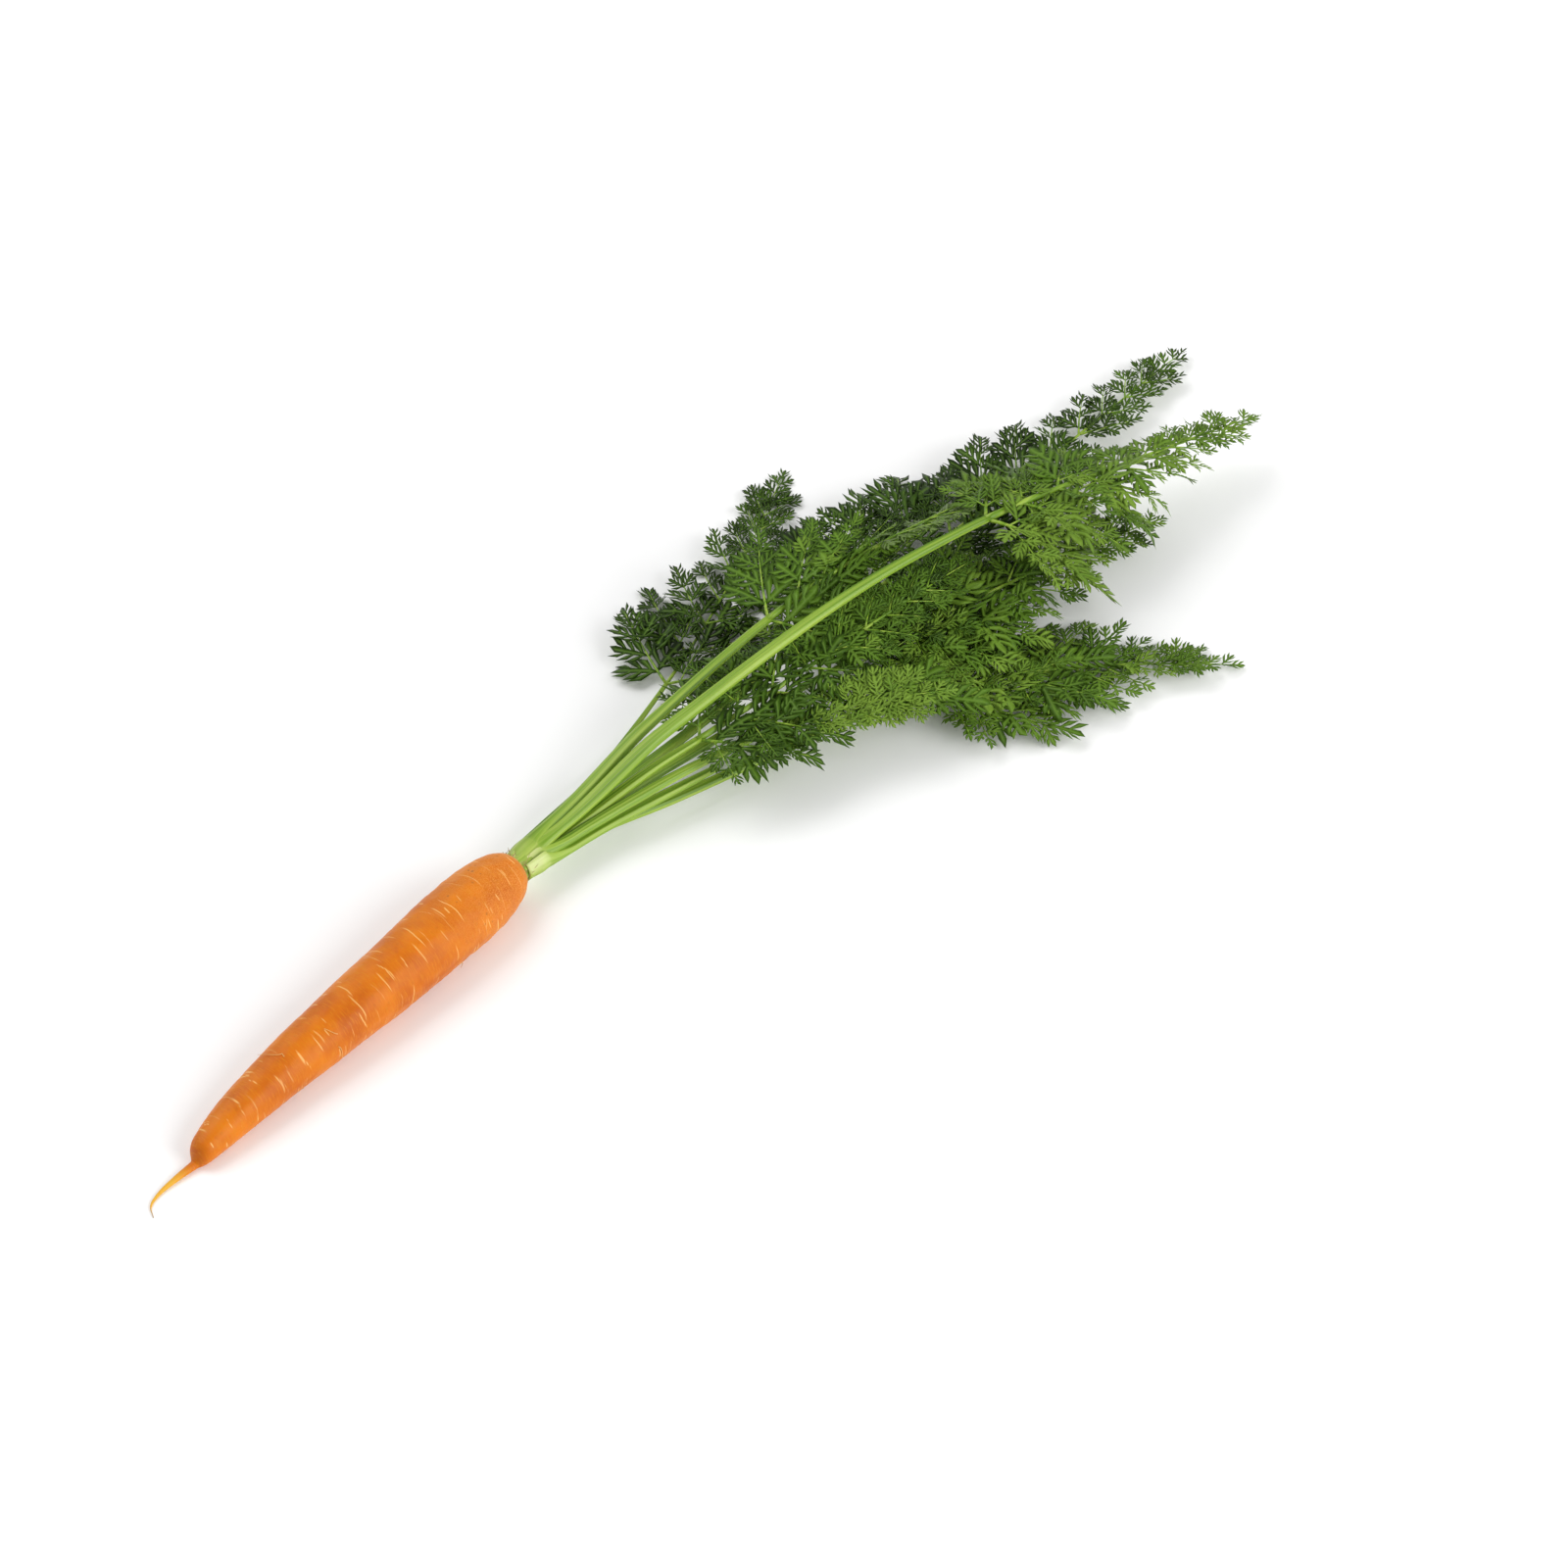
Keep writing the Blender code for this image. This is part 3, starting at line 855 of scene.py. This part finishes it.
set_values(shader, {
    "Subsurface Weight": 0.12, "Subsurface Radius": (0.5, 1.0, 0.15), "Subsurface Scale": 1.5 * MM,
    "Specular IOR Level": 0.4,
})
for leaf in LEAVES:
    finish_piece(stalks[leaf.name], stalk_finish, "stalk", f"stalk_{leaf.name}")

# %% Crown core
shape = bmesh.new()
points = [
    Vector((CROWN_LOW.x - 1.2 * MM + k * 1.1 * MM, CROWN_END.y, AXIS_HEIGHT)) for k in range(12)
]
neck = ((0, 6.0), (0.25, 5.6), (0.6, 5.4), (0.85, 4.4), (1.0, 2.2))
add_tube(shape, points, [read_table(neck, k / 11) * MM for k in range(12)], sides=48)
for vertex in shape.verts:
    out = Vector((vertex.co.y - CROWN_END.y, vertex.co.z - AXIS_HEIGHT))
    fold = 1 + 0.05 * math.sin(9 * math.atan2(out.y, out.x) + 400 * vertex.co.x)
    vertex.co.y = CROWN_END.y + CROWN_BROAD * out.x * fold
    vertex.co.z = AXIS_HEIGHT + out.y * fold
crown = finish_round(shape, "crown_neck")
count = len(crown.data.vertices)
set_stalk_marks(crown.data, [0.9] * count, [0.0] * count, [v.co for v in crown.data.vertices])
finish_piece(crown, stalk_finish, "crown", "crown")

# %% Fibres at the joint
dice = random.Random(8)
shape = bmesh.new()
for k in range(26):
    angle = dice.uniform(0, 2 * math.pi)
    reach = dice.uniform(5.5, 6.4) * MM
    length = dice.uniform(2.0, 5.5) * MM
    bend = dice.uniform(-0.5, 0.5)
    points = []
    for j in range(6):
        t = j / 5
        turn = angle + bend * t
        out = reach + (0.2 + 1.2 * t * t) * MM
        points.append(Vector((
            CROWN_LOW.x - 0.6 * MM + length * t * math.cos(2.2 * bend + t),
            CROWN_END.y + CROWN_BROAD * out * math.cos(turn),
            AXIS_HEIGHT + out * math.sin(turn),
        )))
    add_tube(shape, points, [(0.16 - 0.1 * j / 5) * MM for j in range(6)], sides=5)
bmesh.ops.recalc_face_normals(shape, faces=shape.faces)
fibres = finish_mesh(shape, "crown_fibres")
fibre_finish, tree, shader = new_material("dry fibre")
marks = add_growth(tree, (1, 1, 1))
connect(tree, shader, add_ramp(tree, marks["Grain"], (0.3, (0.16, 0.09, 0.03)), (0.7, (0.45, 0.34, 0.14))))
set_values(shader, {"Roughness": 0.8})
finish_piece(fibres, fibre_finish, "crown")

# %% [markdown]
# ## Leaflets
# A carrot leaf divides three times, and its last parts are small leaflets that are cut into narrow
# pointed lobes. A handful of different leaflets is modelled once, one unit long, and then placed
# hundreds of times. Each is grown from its foot by extruding edges: the middle strip first, and a
# lobe out of each side edge. The flat outline is then copied, turned over and joined to itself along
# its rim, with its inner vertices pushed apart, which gives a thin leaf with a soft ridge.


# %% Grow one lobe
def grow_lobe(shape, first, last, angle, length, width, lift):
    """Grows a pointed lobe out of the edge between two vertices, with a ridge down its middle."""
    edge = shape.edges.get((first, last))
    middle = bmesh.utils.edge_split(edge, first, 0.5)[1]
    ahead = Vector((math.sin(angle), math.cos(angle), 0))
    across = Vector((math.cos(angle), -math.sin(angle), 0))
    if (last.co - first.co).dot(across) < 0:
        across = -across
    belly = middle.co + ahead * (0.48 * length) + UP * lift * 0.3
    row = grow(shape, [first, middle, last], [
        belly - across * width / 2, belly + UP * 0.012, belly + across * width / 2
    ])
    bent = Vector((math.sin(angle * 0.78), math.cos(angle * 0.78), 0))
    tip = middle.co + bent * length + UP * lift
    grow(shape, row, [tip, tip, tip])


# %% Close and bend a leaflet
LEAFLET_THICKNESS = 0.03  # of its length


def close_leaflet(shape):
    """Gives the flat outline an underside that meets it along the rim."""
    rim = {v for e in shape.edges if e.is_boundary for v in e.verts}
    inner = [v for v in shape.verts if v not in rim]
    copied = bmesh.ops.duplicate(shape, geom=shape.verts[:] + shape.edges[:] + shape.faces[:])
    under = [item for item in copied["geom"] if isinstance(item, bmesh.types.BMFace)]
    bmesh.ops.reverse_faces(shape, faces=under)
    below = [copied["vert_map"][v] for v in inner]
    bmesh.ops.translate(shape, vec=(0, 0, LEAFLET_THICKNESS / 2), verts=inner)
    bmesh.ops.translate(shape, vec=(0, 0, -LEAFLET_THICKNESS / 2), verts=below)
    bmesh.ops.remove_doubles(shape, verts=shape.verts, dist=1e-6)


def bend_leaflet(shape, curl, fold, twist):
    """Curls a leaflet along its length, folds it up along its midrib and twists it a little."""
    for vertex in shape.verts:
        x, y, z = vertex.co
        turn = twist * y
        x, z = x * math.cos(turn) - z * math.sin(turn), x * math.sin(turn) + z * math.cos(turn)
        vertex.co = (x, y, z + fold * abs(x) + curl * y * y)


print("a leaflet is", LEAFLET_THICKNESS, "of its length thick")


# %% Grow the leaflets
def make_leaflet(name, pairs, seed):
    """A leaflet that is one unit long and grows along +Y, with its upper side towards +Z."""
    dice = random.Random(seed)
    shape = bmesh.new()
    row = [shape.verts.new((x, 0, 0)) for x in (-0.018, 0, 0.018)]
    for pair in zip(row, row[1:]):
        shape.edges.new(pair)
    sides = []
    trunk = 0.70
    for k in range(pairs):
        share = (k + 0.55) / (pairs + 0.15)
        low, high = trunk * share, trunk * share + 0.30 / (pairs + 0.15)
        half = 0.050 + 0.045 * share
        for y in (low, high):
            new_row = grow(shape, row, [Vector((-half, y, 0)), Vector((0, y, 0)), Vector((half, y, 0))])
            if y == high:
                sides.append((share, row[0], new_row[0], row[2], new_row[2]))
            row = new_row
    tip_width = 0.20
    belly = Vector((0, trunk + 0.14, 0))
    edge = Vector((tip_width / 2, 0, 0))
    row = grow(shape, row, [belly - edge, belly, belly + edge])
    tip = Vector((dice.gauss(0, 0.03), 1, dice.gauss(-0.02, 0.04)))
    grow(shape, row, [tip, tip, tip])
    for share, left_low, left_high, right_low, right_high in sides:
        for low, high, side in ((left_low, left_high, -1), (right_low, right_high, 1)):
            length = (0.60 - 0.26 * share) * dice.uniform(0.82, 1.15)
            angle = side * math.radians((54 - 20 * share) * dice.uniform(0.85, 1.12))
            width = (0.150 - 0.015 * share) * dice.uniform(0.9, 1.15)
            grow_lobe(shape, low, high, angle, length, width, dice.gauss(0.01, 0.05))
    bmesh.ops.remove_doubles(shape, verts=shape.verts, dist=1e-5)
    close_leaflet(shape)
    bend_leaflet(shape, dice.uniform(-0.30, 0.05), dice.uniform(0.1, 0.4), dice.gauss(0, 0.25))
    bmesh.ops.recalc_face_normals(shape, faces=shape.faces)
    mesh = bpy.data.meshes.new(name)
    shape.to_mesh(mesh)
    shape.free()
    return mesh


SMALL_LEAFLETS = [make_leaflet(f"small leaflet {k}", 2, 20 + k) for k in range(6)]
LARGE_LEAFLETS = [make_leaflet(f"large leaflet {k}", 3, 40 + k) for k in range(8)]
print("leaflets have", len(SMALL_LEAFLETS[0].polygons), "or", len(LARGE_LEAFLETS[0].polygons), "faces")

# %% [markdown]
# ## The blades
# A blade is grown from its midrib outwards. Side leaves leave the midrib in pairs, shorter towards the
# tip, rise a little and then sag under their own weight. Each side leaf carries leaflets in pairs, and
# the long leaflets divide once more. Nothing may sink into the table, so a midrib levels out above it
# and a leaflet that would dip below is tilted up.


# %% A midrib that sags
class Rib:
    """A midrib as a list of frames: point, direction of growth and direction of its upper side."""

    CLEARANCE = 0.9 * MM
    STEPS = 10

    def __init__(self, start, ahead, up, length, droop, bend):
        self.frames = []
        step = length / self.STEPS
        point, ahead = start.copy(), ahead.normalized()
        for k in range(self.STEPS + 1):
            side = ahead.cross(up).normalized()
            up = side.cross(ahead)
            self.frames.append((point.copy(), ahead.copy(), up.copy()))
            ahead = ahead + (bend - UP * droop) / self.STEPS
            floor_slope = (self.CLEARANCE - point.z) / step
            if ahead.z < floor_slope * 0.8:
                ahead.z = min(floor_slope * 0.8, 0.5)
            ahead.normalize()
            point = point + ahead * step
            point.z = max(point.z, self.CLEARANCE)

    def frame(self, share):
        k = min(int(share * self.STEPS), self.STEPS - 1)
        t = share * self.STEPS - k
        first, second = self.frames[k], self.frames[k + 1]
        return tuple(a.lerp(b, t) for a, b in zip(first, second))


def turned(ahead, up, sideways, upwards):
    """The direction that leaves ahead by two angles, to its left and upwards, and its upper side."""
    left = up.cross(ahead).normalized()
    flat = ahead * math.cos(sideways) + left * math.sin(sideways)
    rising = flat * math.cos(upwards) + up * math.sin(upwards)
    return rising, up * math.cos(upwards) - flat * math.sin(upwards)


print("a midrib stays", round(Rib.CLEARANCE / MM, 1), "mm above the table")


# %% Proportions of a blade
FIRST_LEAFLET = 0.16  # bare share of a side leaf
LAST_LEAFLET = 0.93
SPLIT_LENGTH = 23 * MM  # longer leaflets divide again
LARGE_LENGTH = 8.0 * MM
LEAST_LEAFLET = 7.5 * MM
LEAST_SIDE_LEAF = 16 * MM
TAPER = 0.72  # power by which side leaves and leaflets shorten towards a tip
TIP_LENGTH = 12 * MM
LEAF_FLOOR = 0.5 * MM
print("side leaves are at least", round(LEAST_SIDE_LEAF / MM), "mm long")


# %% One blade
class Blade:
    """Collects the ribs and the leaflets of one leaf."""

    def __init__(self, leaf, seed):
        self.leaf = leaf
        self.line = LINES[leaf.name]
        self.dice = random.Random(seed)
        self.ribs = []  # (points, radii)
        self.leaflets = []  # (mesh, matrix, tint, side it is mirrored to)

    def add_leaflet(self, point, ahead, up, length, tint):
        dice = self.dice
        mesh = dice.choice(LARGE_LEAFLETS if length > LARGE_LENGTH else SMALL_LEAFLETS)
        ahead, up = turned(ahead, up, 0, dice.gauss(0, 0.10))
        up = up.copy()
        up.rotate(Quaternion(ahead, dice.gauss(0, 0.22)))
        tip = point.z + ahead.z * length
        if tip < LEAF_FLOOR:
            ahead = (ahead + UP * (LEAF_FLOOR - tip) / length).normalized()
        side = ahead.cross(up).normalized()
        up = side.cross(ahead)
        flip = dice.choice((-1, 1))
        place = Matrix((side * flip, ahead, up)).transposed().to_4x4()
        place = Matrix.Translation(point) @ place @ Matrix.Scale(length, 4)
        self.leaflets.append((mesh, place, tint + dice.gauss(0, 0.09), flip))

    def add_side_leaf(self, start, ahead, up, length, droop, bend, tint, base_radius, leaflet_share=0.60):
        """A side leaf: a sagging midrib with leaflets in pairs and one at its end."""
        dice = self.dice
        rib = Rib(start, ahead, up, length, droop, bend)
        count = max(3, min(6, round(length / (10 * MM))))
        shares = [k / rib.STEPS for k in range(rib.STEPS + 1)]
        radii = [base_radius + (0.16 * MM - base_radius) * share**0.8 for share in shares]
        self.ribs.append(([frame[0] for frame in rib.frames], radii))
        for j in range(count):
            share = FIRST_LEAFLET + (LAST_LEAFLET - FIRST_LEAFLET) * (1 - (1 - j / count) ** 1.12)
            for side in (1, -1):
                here = min(share + dice.uniform(-0.015, 0.015), 0.98)
                point, along, upper = rib.frame(here)
                size = leaflet_share * length * (1 - share) ** TAPER * dice.uniform(0.85, 1.15)
                size = max(size, LEAST_LEAFLET)
                angle = side * math.radians((58 - 20 * share) * dice.uniform(0.88, 1.1))
                out, out_up = turned(along, upper, angle, math.radians(dice.uniform(0, 18)))
                if size > SPLIT_LENGTH:
                    self.add_side_leaf(point, out, out_up, size * 0.92, droop * 0.5, along * 0.25, tint,
                                       base_radius * 0.55, 0.52)
                else:
                    self.add_leaflet(point, out, out_up, size, tint)
        point, along, upper = rib.frame(0.86)
        self.add_leaflet(point, along, upper, max(0.30 * length, 7 * MM), tint)

    def grow(self):
        leaf, line, dice = self.leaf, self.line, self.dice
        start = line.stalk
        blade = line.length - TIP_LENGTH - start
        for k in range(leaf.pairs):
            share = 1 - (1 - k / leaf.pairs) ** 1.4
            for side in (1, -1):
                along = start + blade * share + dice.uniform(-1.5, 1.5) * MM
                along = max(along, start)
                point, ahead, up = line.frame(along)
                length = leaf.side * MM * (1 - share) ** TAPER * dice.uniform(0.88, 1.1)
                length = max(length, LEAST_SIDE_LEAF)
                angle = side * math.radians((54 - 16 * share) * dice.uniform(0.9, 1.1))
                rise = math.radians(dice.uniform(-3, 16)) * (1.1 - 0.7 * leaf.layer)
                out, out_up = turned(ahead, up, angle, rise)
                tint = leaf.bright + dice.gauss(0, 0.11)
                radius = (0.35 + 0.55 * length / (60 * MM)) * MM
                droop = leaf.droop * dice.uniform(0.6, 1.4) * length / (50 * MM)
                self.add_side_leaf(point, out, out_up, length, droop, ahead * 0.30, tint, radius)
        point, ahead, up = line.frame(start + blade)
        self.add_side_leaf(point, ahead, up, TIP_LENGTH * 1.8, 0.1, ahead * 0, leaf.bright, 0.4 * MM, 0.5)
        thick = leaf.radius * STALK_TIP_SHARE * MM
        shares = [k / 30 for k in range(31)]
        points = [line.point(start + blade * share) for share in shares]
        self.ribs.append((points, [thick * (1 - 0.78 * share) for share in shares]))


# %% Grow all blades
blades = []
for k, leaf in enumerate(LEAVES):
    if leaf.pairs:
        blade = Blade(leaf, 100 + k)
        blade.grow()
        blades.append(blade)
print("leaflets in all:", sum(len(blade.leaflets) for blade in blades))


# %% Ridges and undersides of the leaflets
def read_leaflet(mesh):
    """For each vertex, 1 on the ridge and 0 on the rim, and for each face, 1 on the underside."""
    shape = bmesh.new()
    shape.from_mesh(mesh)
    ridge = []
    for vertex in shape.verts:
        upper = any(f.normal.z >= 0 for f in vertex.link_faces)
        lower = any(f.normal.z < 0 for f in vertex.link_faces)
        ridge.append(0.0 if upper and lower else 1.0)
    under = [1.0 if f.normal.z < 0 else 0.0 for f in shape.faces]
    shape.free()
    return ridge, under


RIDGES, UNDERSIDES = {}, {}
for mesh in SMALL_LEAFLETS + LARGE_LEAFLETS:
    RIDGES[mesh.name], UNDERSIDES[mesh.name] = read_leaflet(mesh)
print(len(RIDGES), "leaflets read")


# %% Turn a blade into two pieces
PILE_TOP = 50  # mm
SKIMMING = 1.5  # mm above the table, where lobes begin to be pressed flat


def keep_in_bounds(mesh):
    """Presses the few lobes that stick out back between the table and the top of the pile."""
    flat = np.empty(len(mesh.vertices) * 3)
    mesh.vertices.foreach_get("co", flat)
    height = flat[2::3] / MM
    low = SKIMMING * np.exp((np.minimum(height, SKIMMING) - SKIMMING) / SKIMMING)
    height = np.where(height < SKIMMING, low, height)
    flat[2::3] = np.where(height > PILE_TOP, PILE_TOP + (height - PILE_TOP) * 0.3, height) * MM
    mesh.vertices.foreach_set("co", flat)


def build_ribs(blade):
    shape = bmesh.new()
    for points, radii in blade.ribs:
        add_tube(shape, points, radii, sides=8 if radii[0] > 1 * MM else 5)
    made = finish_round(shape, f"blade_{blade.leaf.name}_ribs")
    keep_in_bounds(made.data)
    count = len(made.data.vertices)
    set_stalk_marks(made.data, [0.0] * count, [0.3] * count, [v.co for v in made.data.vertices])
    return made


def build_leaflets(blade):
    """Copies every leaflet to its place and keeps its tint, its ridge and its side as attributes."""
    shape = bmesh.new()
    tints, ridges, sides = [], [], []
    for mesh, place, tint, flip in blade.leaflets:
        first = len(shape.verts)
        first_face = len(shape.faces)
        shape.from_mesh(mesh)
        shape.verts.ensure_lookup_table()
        shape.faces.ensure_lookup_table()
        bmesh.ops.transform(shape, matrix=place, verts=shape.verts[first:])
        if flip < 0:
            bmesh.ops.reverse_faces(shape, faces=shape.faces[first_face:])
        tints += [tint] * len(mesh.vertices)
        ridges += RIDGES[mesh.name]
        sides += UNDERSIDES[mesh.name]
    made = finish_mesh(shape, f"blade_{blade.leaf.name}_leaflets")
    keep_in_bounds(made.data)
    made.data.shade_smooth()
    set_attribute(made.data, "tint", tints)
    set_attribute(made.data, "ridge", ridges)
    set_attribute(made.data, "underside", sides, "FACE")
    return made


# %% Leaf material
leaf_finish, tree, shader = new_material("carrot leaf")
marks = add_growth(tree, (1, 1, 1))
tint = add_maths(tree, "ADD", add_attribute(tree, "tint"), add_mask(tree, marks["Blotches"], 0.3, 0.7, 0.16))
colour = add_ramp(tree, tint, (0.18, (0.012, 0.032, 0.001)), (0.45, (0.034, 0.082, 0.003)),
                  (0.75, (0.080, 0.165, 0.010)), (1.0, (0.165, 0.275, 0.028)))
ridge = add_mask(tree, add_attribute(tree, "ridge"), 0.55, 1.0, 0.45)
colour = add_mix(tree, ridge, colour, (0.15, 0.27, 0.035))
colour = add_mix(tree, add_maths(tree, "MULTIPLY", add_attribute(tree, "underside"), 0.75), colour,
                 (0.150, 0.215, 0.070))
colour = add_mix(tree, add_mask(tree, marks["Grain"], 0.45, 0.75, 0.18), colour, (0.09, 0.19, 0.012))
roughness = grain_roughness(tree, marks, 0.3, 0.7, 0.15, 0.42)
connect(tree, shader, colour, roughness, add_bump(tree, marks["Grain"], 0.08 * MM, 0.4))
set_values(shader, {"Specular IOR Level": 0.18})
for blade in blades:
    finish_piece(build_ribs(blade), stalk_finish, "stalk")
    finish_piece(build_leaflets(blade), leaf_finish, "foliage", f"blade_{blade.leaf.name}")
